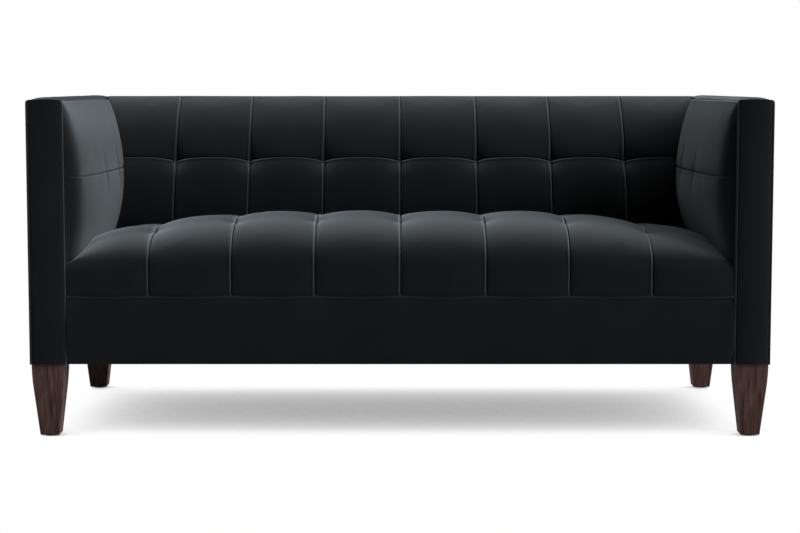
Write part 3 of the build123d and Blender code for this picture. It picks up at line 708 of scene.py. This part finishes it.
def build_arm(side_name, side):
    y_places = joined(
        graded(pad_front, arm_seam_places[0]),
        graded(*arm_seam_places),
        graded(arm_seam_places[1], pad_rear, (True, False)),
    )
    z_places = joined(
        graded(pad_bottom, arm_seam_height, (False, True)),
        graded(arm_seam_height, arm_pad_high),
    )
    y, z = np.meshgrid(y_places, z_places, indexing="ij")
    up = z - arm_seam_height
    along = past(y, arm_seam_places)
    off_tuft = np.hypot(along, up * arm_pull_stretch) / arm_pull_reach
    pulled = arm_pull * np.exp(-(off_tuft**arm_pull_power))
    points = np.stack([side * (arm_face(y, z) + pulled), y, z], axis=2)
    seam_rows = [int(np.abs(z_places - arm_seam_height).argmin())]
    if side < 0:
        points = settled(points, [], seam_rows)
    else:
        points = settled(points[:, ::-1], [], [len(z_places) - 1 - seam_rows[0]])[:, ::-1]
    upright = upright_weight * smooth(np.abs(up), *upright_span)
    height, fold_and_painted_light = sewn((up, arm_seam_weight), (along, upright))
    height += tufted(along, up, arm_tuft) + waved(points, arm_waves, 5 + side)
    shown = smooth(y, pad_front, pad_front + arm_front_fade)
    shown = shown * smooth(z, arm_pad_high, arm_pad_high - arm_top_fade)
    points = points - side * normals(points, False) * (height * shown)[..., None]
    behind = np.linspace(0, 1, some_rows)[1:]
    face_top = np.abs(points[:, -1:, 0])
    y_behind = np.repeat(y_places[:, None], len(behind), axis=1)
    x_roof = side * (face_top + (pad_outer - face_top) * behind)
    z_behind = arm_pad_high + (pad_bottom - arm_pad_high) * behind
    z_outer = np.repeat(z_behind[None, :], len(y_places), axis=0)
    roof = np.stack([x_roof, y_behind, np.full_like(y_behind, arm_pad_high)], axis=2)
    outer = np.stack([np.full_like(y_behind, side * pad_outer), y_behind, z_outer], axis=2)
    # Painted light and shade per arm, by height, added to the painted highlights and shade of its seams
    middle, higher, lower = left_arm_painted_light if side < 0 else right_arm_painted_light
    painted_light_and_shade = middle + higher * smooth(z, *arm_high_span) + lower * smooth(z, *arm_low_span)
    painted_light_level = (arm_painted_seam_light * fold_and_painted_light + painted_light_and_shade) * shown
    fold_and_painted_light = np.concatenate([painted_light_level, np.zeros((len(y_places), 2 * len(behind)))], axis=1)
    points = np.concatenate([points, roof, outer], axis=1)
    return grid_mesh(f"{side_name}_inside_arm_pad", points, closed=True, fold_and_painted_light=fold_and_painted_light)


# Panels, strips and welts
def rolled(distance):
    """How far a panel's edge rolls back towards the seam beside it."""
    return edge_roll * np.exp(-distance / edge_reach)


def crowned(share):
    """0 at both edges of a panel and 1 in its middle."""
    return 4 * share * (1 - share)


def hem_rows(top):
    """Rows of a panel from under its hem to its top: how far each is turned in, and its height."""
    turn = np.linspace(pi / 2, 0, hem_steps + 1)[:-1]
    face = graded(hem_radius, top - clearance, (False, True))
    turned = np.concatenate([hem_radius * (1 - np.cos(turn)), np.zeros(len(face))])
    return turned[None, :], np.concatenate([hem_radius * (1 - np.sin(turn)), face]) + clearance


def arm_rim(x, y):
    """Height of an arm's top strip: an arch across it that rises to the back's edge in the rear corner."""
    share = (x - strip_in) / (strip_out - strip_in)
    opening = smooth(y, front, front + front_arch_reach)
    arch = crowned(share) * (front_arch + (1 - front_arch) * opening)
    inward = np.clip(1 - share, 0, 1) ** corner_power
    corner = smooth(y, back_seam - corner_run, back_strip_front) * inward
    rise = between(arm_rise, (y - front) / (rear - front))
    return arm_edge + rise + np.maximum(arm_arch * arch, (back_edge - arm_edge - rise) * corner)


def build_front_panel(side_name, side):
    turned, heights = hem_rows(arm_edge)
    x, z = np.meshgrid(graded(panel_in, strip_out), heights, indexing="ij")
    bulge = crowned((x - panel_in) / (strip_out - panel_in))
    rise = (z - clearance) / (arm_edge - clearance)
    ditch = panel_ditch[0] * np.exp(-(x - panel_in) / panel_ditch[1])
    y = front - panel_crown * bulge + rolled(strip_out - x) + ditch + turned
    arch = front_arch * arm_arch * bulge * smooth(rise, *front_arch_span)
    points = np.stack([side * x, y, z + arch + arm_rise[0] * rise], axis=2)
    points[..., 1] += waved(points, front_panel_waves, 5 + side)
    return thicken(grid_mesh(f"{side_name}_front_panel", points), (0, -1, 0))


def build_arm_strip(side_name, side):
    x, y = np.meshgrid(graded(strip_in, strip_out), graded(front, rear), indexing="ij")
    inner_edge = (x - strip_in) + strip_unsewn * smooth(y, back_seam - corner_run, back_strip_front)
    z = arm_rim(x, y) - rolled(np.minimum(inner_edge, strip_out - x)) - rolled(rear - y)
    points = np.stack([side * x, y, z], axis=2)
    points[..., 2] += waved(points, arm_strip_waves, 8 + side)
    return thicken(grid_mesh(f"{side_name}_top_strip", points), (0, 0, 1))


def build_back_strip():
    x_places = np.linspace(-strip_in, strip_in, long_places)
    x, y = np.meshgrid(x_places, graded(back_strip_front, rear), indexing="ij")
    share = (y - back_strip_front) / (rear - back_strip_front)
    z = back_edge + (back_crest - back_edge) * crowned(share) - rolled(rear - y)
    points = np.stack([x, y, z], axis=2)
    points[..., 2] += waved(points, back_strip_waves, 11)
    return thicken(grid_mesh("back_strip", points), (0, 0, 1))


def build_border():
    across = joined(graded(-inner_face, 0, (True, False)), graded(0, inner_face, (False, True)))
    turned, heights = hem_rows(border_top)
    x, z = np.meshgrid(across, heights, indexing="ij")
    bulge = crowned((z - clearance) / (border_top - clearance))
    edge = np.minimum(inner_face - np.abs(x), border_top - z)
    points = np.stack([x, border_face - panel_crown * bulge + rolled(edge) + turned, z], axis=2)
    points[..., 1] += waved(points, border_waves, 12)
    return thicken(grid_mesh("border_panel", points), (0, -1, 0))


def build_outside_arm(side_name, side):
    along = graded(front + 2 * welt_radius, rear)
    turned, heights = hem_rows(arm_edge - 2 * welt_radius)
    y, z = np.meshgrid(along, heights, indexing="ij")
    bulge = crowned((y - front) / (rear - front)) * crowned((z - clearance) / (arm_edge - clearance))
    edge = np.minimum(nearest(y, (along[0], along[-1])), heights[-1] - z)
    points = np.stack([side * (half_width + panel_crown * bulge - rolled(edge) - turned), y, z], axis=2)
    points[..., 0] += waved(points, outside_arm_waves, 14 + side)
    return thicken(grid_mesh(f"{side_name}_outside_arm", points), (side, 0, 0))


def build_outside_back():
    ends = joined(graded(strip_in, strip_out), graded(strip_out, half_width))
    middle = joined(graded(-strip_in, 0, (True, False)), graded(0, strip_in, (False, True)))
    turned, heights = hem_rows(back_edge - cloth / 2)
    x, z = np.meshgrid(joined(-ends[::-1], middle, ends), heights, indexing="ij")
    rise = (z - clearance) / (heights[-1] - clearance)
    bulge = crowned((x + half_width) / (2 * half_width)) * crowned(rise)
    reach = np.abs(x)
    rim = np.where(reach < strip_in, back_edge, arm_rim(np.clip(reach, strip_in, strip_out), rear))
    edge = np.minimum(half_width - reach, heights[-1] - z)
    y = rear + panel_crown * bulge - rolled(edge) - turned
    points = np.stack([x, y, z - (back_edge - rim) * rise], axis=2)
    points[..., 1] += waved(points, outside_back_waves, 17)
    return thicken(grid_mesh("outside_back", points), (0, 1, 0))


def build_dust_cover():
    x_places = np.linspace(dust_low.x, dust_high.x, dust_places[0])
    y_places = np.linspace(dust_low.y, dust_high.y, dust_places[1])
    x, y = np.meshgrid(x_places, y_places, indexing="ij")
    depth = (y - dust_low.y) / (dust_high.y - dust_low.y)
    sag = dust_sag * (1 - (x / dust_high.x) ** 2) * crowned(depth)
    points = np.stack([x, y, dust_high.z - sag], axis=2)
    points[..., 2] += waved(points, dust_waves, 19)
    notch_x = half_width - (leg_high.x - leg_low.x) - leg_room
    notch_y = rear - (leg_high.y - leg_low.y) - leg_room
    verts = points.reshape(-1, 3)
    faces = []
    for face in grid_faces(len(x_places), len(y_places)):
        centre = np.abs(verts[list(face)].mean(axis=0))
        if centre[0] < notch_x or centre[1] < notch_y:
            faces.append(face)
    return finished("under_cloth", [tuple(p) for p in verts], faces)


def tube(name, paths, side_axis, radius, painted_shading):
    """Round cords along paths that lie in planes square to side_axis."""
    turn = np.linspace(0, 2 * pi, welt_sides, endpoint=False)
    axis = np.array(side_axis, float)
    verts, faces = [], []
    for path in paths:
        ways = np.gradient(path, axis=0)
        ways /= np.linalg.norm(ways, axis=1, keepdims=True)
        out = np.cross(ways, axis)
        ring = np.cos(turn)[None, :, None] * axis + np.sin(turn)[None, :, None] * out[:, None, :]
        start = len(verts)
        verts += [tuple(p) for p in (path[:, None, :] + radius * ring).reshape(-1, 3)]
        quads = grid_faces(len(path), welt_sides, closed=True)
        faces += [tuple(start + n for n in quad) for quad in quads]
        faces.append(tuple(range(start, start + welt_sides)))
        faces.append(tuple(range(len(verts) - welt_sides, len(verts))))
    # Every point of the cords carries the same painted highlight value
    return finished(name, verts, faces, np.full(len(verts), painted_shading))


def build_arm_welts(side_name, side):
    y_front = front + welt_radius
    bend = np.linspace(0, pi / 2, welt_bend_places)[1:-1]
    turned = welt_corner * (1 - np.cos(bend))
    dropped = welt_corner * (1 - np.sin(bend))
    paths = []
    for x, stop, sunk in ((inner_face, back_seam, welt_sunk), (half_width - welt_radius, rear, 0)):
        height = arm_edge - welt_radius - sunk
        run = [(y_front, z) for z in np.linspace(clearance, height - welt_corner, welt_places)]
        run += [(y_front + y, height - z) for y, z in zip(turned, dropped)]
        run += [(y, height) for y in np.linspace(y_front + welt_corner, stop, welt_places)]
        paths.append(np.array([(side * x, y, z) for y, z in run]))
    return tube(f"{side_name}_welts", paths, (1, 0, 0), welt_radius, arm_welt_painted_highlight)


def straight_welt(name, reach, y, z, radius, painted_shading):
    path = np.array([(x, y, z) for x in np.linspace(-reach, reach, long_places)])
    return tube(name, [path], (0, 1, 0), radius, painted_shading)


# Materials: noise is a scale, a detail and a stretch, a bump is a strength and a height
tone_places = (0.3, 0.7)
velvet_tones = (0.0132, 0.0140, 0.0158), (0.0164, 0.0173, 0.0195)
velvet_noise = (14, 4, (1, 1, 0.6))
velvet_sheen = 0.37
velvet_sheen_roughness = 0.50
velvet_sheen_tint = (0.82, 0.94, 1.0, 1)
velvet_roughness = 0.9
pile_noise = (700, 2)
pile_bump = (0.25, 0.0006)
# Gains of painted light: the highest and lowest scale of the velvet's colour and sheen, for painted
# highlight and painted shade
painted_highlight_gain = 2.4
painted_shade_gain = 0.25
grain_detail = 5
grain_bump = 0.2
leg_tones = [(0.3, (0.085, 0.043, 0.037)), (0.55, (0.172, 0.101, 0.090)), (0.75, (0.260, 0.163, 0.145))]
leg_edge = 0.0015
leg_edge_steps = 3
leg_edge_angle = 40


def new_material(name):
    """A new material, its nodes, its links and its shader."""
    made = bpy.data.materials.new(name)
    made.use_nodes = True
    return made, made.node_tree.nodes, made.node_tree.links, made.node_tree.nodes["Principled BSDF"]


def noise_node(nodes, links, scale, detail, stretch=(1, 1, 1)):
    """A noise texture in the frame's own metres, stretched along its axes."""
    where = nodes.new("ShaderNodeTexCoord")
    mapping = nodes.new("ShaderNodeMapping")
    mapping.inputs["Scale"].default_value = stretch
    links.new(where.outputs["Object"], mapping.inputs["Vector"])
    made = nodes.new("ShaderNodeTexNoise")
    made.inputs["Scale"].default_value = scale
    made.inputs["Detail"].default_value = detail
    links.new(mapping.outputs["Vector"], made.inputs["Vector"])
    return made


def ramp_node(nodes, links, source, stops):
    """A colour ramp fed by another node's factor."""
    ramp = nodes.new("ShaderNodeValToRGB")
    while len(ramp.color_ramp.elements) < len(stops):
        ramp.color_ramp.elements.new(0.5)
    for element, (place, colour) in zip(ramp.color_ramp.elements, stops):
        element.position = place
        element.color = (*colour, 1)
    links.new(source, ramp.inputs["Fac"])
    return ramp


def bump_node(nodes, links, height, strength, distance, shader):
    bump = nodes.new("ShaderNodeBump")
    bump.inputs["Strength"].default_value = strength
    bump.inputs["Distance"].default_value = distance
    links.new(height, bump.inputs["Height"])
    links.new(bump.outputs["Normal"], shader.inputs["Normal"])


def two_tone(dark, light):
    """Ramp stops from a dark tone to a light one."""
    return list(zip(tone_places, (dark, light)))


def velvet():
    """Short pile: dark straight on, pale at a grazing angle, with painted highlights and painted shade that
    scale its colour and sheen.
    """
    made, nodes, links, shader = new_material("velvet")
    nap = noise_node(nodes, links, *velvet_noise)
    tone = ramp_node(nodes, links, nap.outputs["Fac"], two_tone(*velvet_tones))
    # A per-point attribute of painted light: above 0 it lightens colour and sheen as a painted highlight,
    # below 0 it darkens them as painted shade
    painted_shading = nodes.new("ShaderNodeAttribute")
    painted_shading.attribute_name = "painted_shading"
    painted_light_level = nodes.new("ShaderNodeMath")
    painted_light_level.operation = "MULTIPLY"
    for n, limits in enumerate(((0, 1, 1, painted_highlight_gain), (-1, 0, painted_shade_gain, 1))):
        share = nodes.new("ShaderNodeMapRange")
        for socket, value in zip(("From Min", "From Max", "To Min", "To Max"), limits):
            share.inputs[socket].default_value = value
        links.new(painted_shading.outputs["Fac"], share.inputs["Value"])
        links.new(share.outputs["Result"], painted_light_level.inputs[n])
    colour = nodes.new("ShaderNodeVectorMath")
    colour.operation = "SCALE"
    links.new(tone.outputs["Color"], colour.inputs[0])
    links.new(painted_light_level.outputs["Value"], colour.inputs["Scale"])
    links.new(colour.outputs["Vector"], shader.inputs["Base Color"])
    # The sheen weight is scaled by the same painted light
    sheen = nodes.new("ShaderNodeMath")
    sheen.operation = "MULTIPLY"
    sheen.inputs[1].default_value = velvet_sheen
    links.new(painted_light_level.outputs["Value"], sheen.inputs[0])
    links.new(sheen.outputs["Value"], shader.inputs["Sheen Weight"])
    shader.inputs["Roughness"].default_value = velvet_roughness
    shader.inputs["Specular IOR Level"].default_value = 0.0
    shader.inputs["Sheen Roughness"].default_value = velvet_sheen_roughness
    shader.inputs["Sheen Tint"].default_value = velvet_sheen_tint
    pile = noise_node(nodes, links, *pile_noise)
    bump_node(nodes, links, pile.outputs["Fac"], *pile_bump, shader)
    return made


def grained(name, stops, scale, roughness, metallic=0.0, stretch=(1, 1, 1), relief=0.0004, gloss=0.5):
    """A material whose colour and relief come from one noise, stretched along the grain."""
    made, nodes, links, shader = new_material(name)
    grain = noise_node(nodes, links, scale, grain_detail, stretch)
    tone = ramp_node(nodes, links, grain.outputs["Fac"], stops)
    links.new(tone.outputs["Color"], shader.inputs["Base Color"])
    shader.inputs["Roughness"].default_value = roughness
    shader.inputs["Metallic"].default_value = metallic
    shader.inputs["Specular IOR Level"].default_value = gloss
    bump_node(nodes, links, grain.outputs["Fac"], grain_bump, relief, shader)
    return made


frame_tones = two_tone((0.45, 0.31, 0.18), (0.66, 0.50, 0.33))
plywood_tones = two_tone((0.55, 0.41, 0.26), (0.72, 0.58, 0.40))
board_tones = two_tone((0.27, 0.19, 0.12), (0.42, 0.32, 0.22))
steel_tones = two_tone((0.42, 0.42, 0.43), (0.60, 0.60, 0.61))
webbing_tones = two_tone((0.30, 0.23, 0.14), (0.50, 0.40, 0.27))
foam_tones = two_tone((0.68, 0.63, 0.48), (0.82, 0.78, 0.64))
felt_tones = two_tone((0.45, 0.44, 0.42), (0.60, 0.59, 0.57))
dust_tones = two_tone((0.010, 0.010, 0.011), (0.022, 0.022, 0.023))
glide_tones = two_tone((0.02, 0.02, 0.02), (0.05, 0.05, 0.05))
finishes = {
    "velvet": velvet(),
    "leg_wood": grained("leg_wood", leg_tones, scale=140, roughness=0.6, stretch=(1, 1, 0.06),
                        relief=0.0006, gloss=0.04),
    "frame_wood": grained("frame_wood", frame_tones, scale=60, roughness=0.7, stretch=(0.1, 1, 1)),
    "plywood": grained("plywood", plywood_tones, scale=80, roughness=0.65, stretch=(1, 0.2, 0.2)),
    "fibreboard": grained("fibreboard", board_tones, scale=500, roughness=0.8),
    "steel": grained("steel", steel_tones, scale=200, roughness=0.35, metallic=1.0, stretch=(1, 0.1, 1)),
    "webbing": grained("webbing", webbing_tones, scale=400, roughness=0.9),
    "foam": grained("foam", foam_tones, scale=350, roughness=0.95),
    "felt": grained("felt", felt_tones, scale=250, roughness=0.95),
    "dust_cloth": grained("dust_cloth", dust_tones, scale=900, roughness=0.9),
    "glide_plastic": grained("glide_plastic", glide_tones, scale=600, roughness=0.5),
}


def dress(piece, slot, *stands_for):
    """Puts a piece on the frame: its finish, its body and the nodes it stands for."""
    piece.data.materials.append(finishes[slot])
    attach(piece, "root")
    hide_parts(*stands_for)
    return piece


for subpart in frame["record"]["subparts"]:
    node = frame["nodes"][subpart["node"]]
    node.data.materials.clear()
    node.data.materials.append(finishes[subpart["material_slot"]])
    if subpart["material_slot"] == "leg_wood":
        ease = node.modifiers.new("eased_edges", "BEVEL")
        ease.width = leg_edge
        ease.segments = leg_edge_steps
        ease.limit_method = "ANGLE"
        ease.angle_limit = radians(leg_edge_angle)

dress(build_seat(), "velvet", "seat_cover", "seat_foam", "seat_deck_pad")
dress(build_back(), "velvet", "inside_back_cover", "inside_back_foam")
for side_name, side in sides.items():
    pad_nodes = (f"{side_name}_inside_arm_cover", f"{side_name}_inside_arm_foam")
    dress(build_arm(side_name, side), "velvet", *pad_nodes)
    panel = dress(build_front_panel(side_name, side), "velvet", f"{side_name}_arm_front_panel")
    strip = dress(build_arm_strip(side_name, side), "velvet", f"{side_name}_arm_top_strip", "arm_felts")
    arm_cloth = dress(build_outside_arm(side_name, side), "velvet", f"{side_name}_outside_arm_cover")
    dress(build_arm_welts(side_name, side), "velvet", f"{side_name}_arm_welts")
dress(build_back_strip(), "velvet", "back_top_strip", "back_felt")
dress(build_border(), "velvet", "front_border", "front_border_felt")
back_cloth = dress(build_outside_back(), "velvet", "outside_back_cover")
back_welt = straight_welt("back_welt", inner_face, back_seam + welt_radius, back_edge - welt_radius,
                          welt_radius, back_welt_painted_highlight)
dress(back_welt, "velvet", "back_top_welt")
foot_welt = straight_welt("seat_foot_welt", inner_face, border_face + seat_welt_radius / 2,
                          border_top + seat_welt_radius, seat_welt_radius, seat_welt_painted_highlight)
dress(foot_welt, "velvet", "seat_welt")
under = dress(build_dust_cover(), "dust_cloth", "dust_cover")

# Values of the floor and its shadow, and of the fill light
floor_reach = 30.0
floor_level = -0.0002
floor_signs = ((-1, -1), (1, -1), (1, 1), (-1, 1))
floor_tone = 0.3
shadow_reach = 2.0
shadow_gain = 1.9
shadow_floor = 0.26
shadow_samples = 16
fill_strength = 0.022

# Camera as fitted to the photo: lens and sensor in millimetres, tilt in degrees downwards
camera_lens = 85.47
camera_sensor = 36.0
camera_view_end = 200.0
camera_distance = 4.450
camera_height = 0.826
camera_tilt = 5.361

# Floor
floor_corners = [(x * floor_reach, y * floor_reach, floor_level) for x, y in floor_signs]
floor = finished("floor", floor_corners, [(0, 1, 2, 3)])


def shown_to_camera(nodes, links, ordinary, seen, out):
    """Sends one shader to rays from the camera, mirrors and glass, and another to all other rays."""
    ray = nodes.new("ShaderNodeLightPath")
    either = ray.outputs["Is Camera Ray"]
    for kind in ("Is Glossy Ray", "Is Transmission Ray"):
        more = nodes.new("ShaderNodeMath")
        more.operation = "MAXIMUM"
        links.new(either, more.inputs[0])
        links.new(ray.outputs[kind], more.inputs[1])
        either = more.outputs["Value"]
    mix = nodes.new("ShaderNodeMixShader")
    links.new(either, mix.inputs["Fac"])
    links.new(ordinary.outputs[0], mix.inputs[1])
    links.new(seen.outputs[0], mix.inputs[2])
    links.new(mix.outputs[0], out.inputs["Surface"])


def floor_material():
    """Pale floor; the camera sees white paper with a soft shadow where the object is close over it."""
    made = bpy.data.materials.new("floor_white")
    made.use_nodes = True
    nodes, links = made.node_tree.nodes, made.node_tree.links
    nodes.clear()
    plain = nodes.new("ShaderNodeBsdfDiffuse")
    plain.inputs["Color"].default_value = (floor_tone, floor_tone, floor_tone, 1)
    open_sky = nodes.new("ShaderNodeAmbientOcclusion")
    open_sky.samples = shadow_samples
    open_sky.inputs["Distance"].default_value = shadow_reach
    gain = nodes.new("ShaderNodeMath")
    gain.operation = "MULTIPLY_ADD"
    gain.use_clamp = True
    gain.inputs[1].default_value = shadow_gain
    gain.inputs[2].default_value = shadow_floor
    links.new(open_sky.outputs["AO"], gain.inputs[0])
    paper = nodes.new("ShaderNodeEmission")
    links.new(gain.outputs["Value"], paper.inputs["Strength"])
    shown_to_camera(nodes, links, plain, paper, nodes.new("ShaderNodeOutputMaterial"))
    return made


floor.data.materials.append(floor_material())


def world_light(strength):
    """Dim even light from all round; the camera sees a white background."""
    world = bpy.data.worlds.new("studio")
    bpy.context.scene.world = world
    world.use_nodes = True
    nodes, links = world.node_tree.nodes, world.node_tree.links
    nodes.clear()
    fill = nodes.new("ShaderNodeBackground")
    fill.inputs["Strength"].default_value = strength
    white = nodes.new("ShaderNodeBackground")
    white.inputs["Strength"].default_value = 1.0
    for background in (fill, white):
        background.inputs["Color"].default_value = (1, 1, 1, 1)
    shown_to_camera(nodes, links, fill, white, nodes.new("ShaderNodeOutputWorld"))


def far_light(name, azimuth, elevation, spread, strength):
    """Light from far away; azimuth turns from the front to the right, and spread softens its shadows."""
    lamp = bpy.data.lights.new(name, "SUN")
    lamp.angle = radians(spread)
    lamp.energy = strength
    holder = bpy.data.objects.new(name, lamp)
    turn, lift = radians(azimuth), radians(elevation)
    toward = Vector((sin(turn) * cos(lift), -cos(turn) * cos(lift), sin(lift)))
    holder.rotation_euler = toward.to_track_quat("Z", "Y").to_euler()
    bpy.context.scene.collection.objects.link(holder)


# Lights
world_light(fill_strength)
far_light("key_right", azimuth=65, elevation=30, spread=25, strength=1.45)
far_light("side_right", azimuth=95, elevation=60, spread=30, strength=1.00)
far_light("rim_right", azimuth=130, elevation=35, spread=20, strength=0.45)
far_light("rim_left", azimuth=235, elevation=35, spread=25, strength=0.13)
far_light("high_right", azimuth=150, elevation=50, spread=30, strength=0.75)
far_light("high_behind", azimuth=180, elevation=66, spread=36, strength=0.85)

# Camera
camera_data = bpy.data.cameras.new("camera")
camera_data.lens = camera_lens
camera_data.sensor_width = camera_sensor
camera_data.clip_end = camera_view_end
camera = bpy.data.objects.new("camera", camera_data)
camera.location = (0.0, front - camera_distance, camera_height)
camera.rotation_euler = (radians(90 - camera_tilt), 0, 0)
bpy.context.scene.collection.objects.link(camera)
bpy.context.scene.camera = camera
bpy.context.scene.view_settings.view_transform = "Standard"
